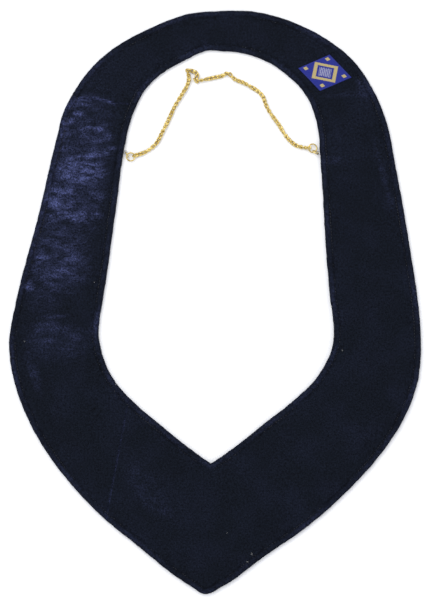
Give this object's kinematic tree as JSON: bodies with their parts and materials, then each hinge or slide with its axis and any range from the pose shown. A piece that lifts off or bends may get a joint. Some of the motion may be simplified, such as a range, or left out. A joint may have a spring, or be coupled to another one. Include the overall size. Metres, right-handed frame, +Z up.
{
  "type": "lodge officer's collar",
  "caption": "Pointed neck collar of dark navy velvet, lying back up, with topstitched edges, a small woven label and a neck chain of interlocked oval links.",
  "frame": {"origin": "on the surface the collar lies on, under the middle of its length and width", "axes": "+Y from the point to the back of the neck, +Z up, +X towards the label's side as seen from above the collar's back"},
  "size_m": [0.424, 0.6005, 0.0076],
  "materials": {
    "velvet": "short dark navy pile, matt, lighter where it is crushed",
    "gold": "polished, gold coloured plate",
    "label": "damask-woven blue and gold polyester, slight sheen",
    "thread": "twisted polyester sewing thread, matt"
  },
  "bodies": {
    "root": {"back_velvet_left": "velvet", "back_velvet_main": "velvet", "chain_link_01": "gold", "chain_link_02": "gold", "chain_link_03": "gold", "chain_link_04": "gold", "chain_link_05": "gold", "chain_link_06": "gold", "chain_link_07": "gold", "chain_link_08": "gold", "chain_link_09": "gold", "chain_link_10": "gold", "chain_link_11": "gold", "chain_link_12": "gold", "chain_link_13": "gold", "chain_link_14": "gold", "chain_link_15": "gold", "chain_link_16": "gold", "chain_link_17": "gold", "chain_link_18": "gold", "chain_link_19": "gold", "chain_link_20": "gold", "chain_link_21": "gold", "chain_link_22": "gold", "chain_link_23": "gold", "chain_link_24": "gold", "chain_link_25": "gold", "chain_link_26": "gold", "chain_link_27": "gold", "chain_link_28": "gold", "chain_link_29": "gold", "chain_link_30": "gold", "chain_link_31": "gold", "chain_link_32": "gold", "chain_link_33": "gold", "chain_link_34": "gold", "chain_link_35": "gold", "chain_link_36": "gold", "chain_link_37": "gold", "chain_link_38": "gold", "chain_link_39": "gold", "chain_link_40": "gold", "chain_link_41": "gold", "connector_ring_left": "gold", "connector_ring_right": "gold", "end_ring_left": "gold", "end_ring_right": "gold", "front_velvet": "velvet", "thread_loop_left": "thread", "thread_loop_right": "thread", "woven_label": "label"}
  },
  "joints": []
}
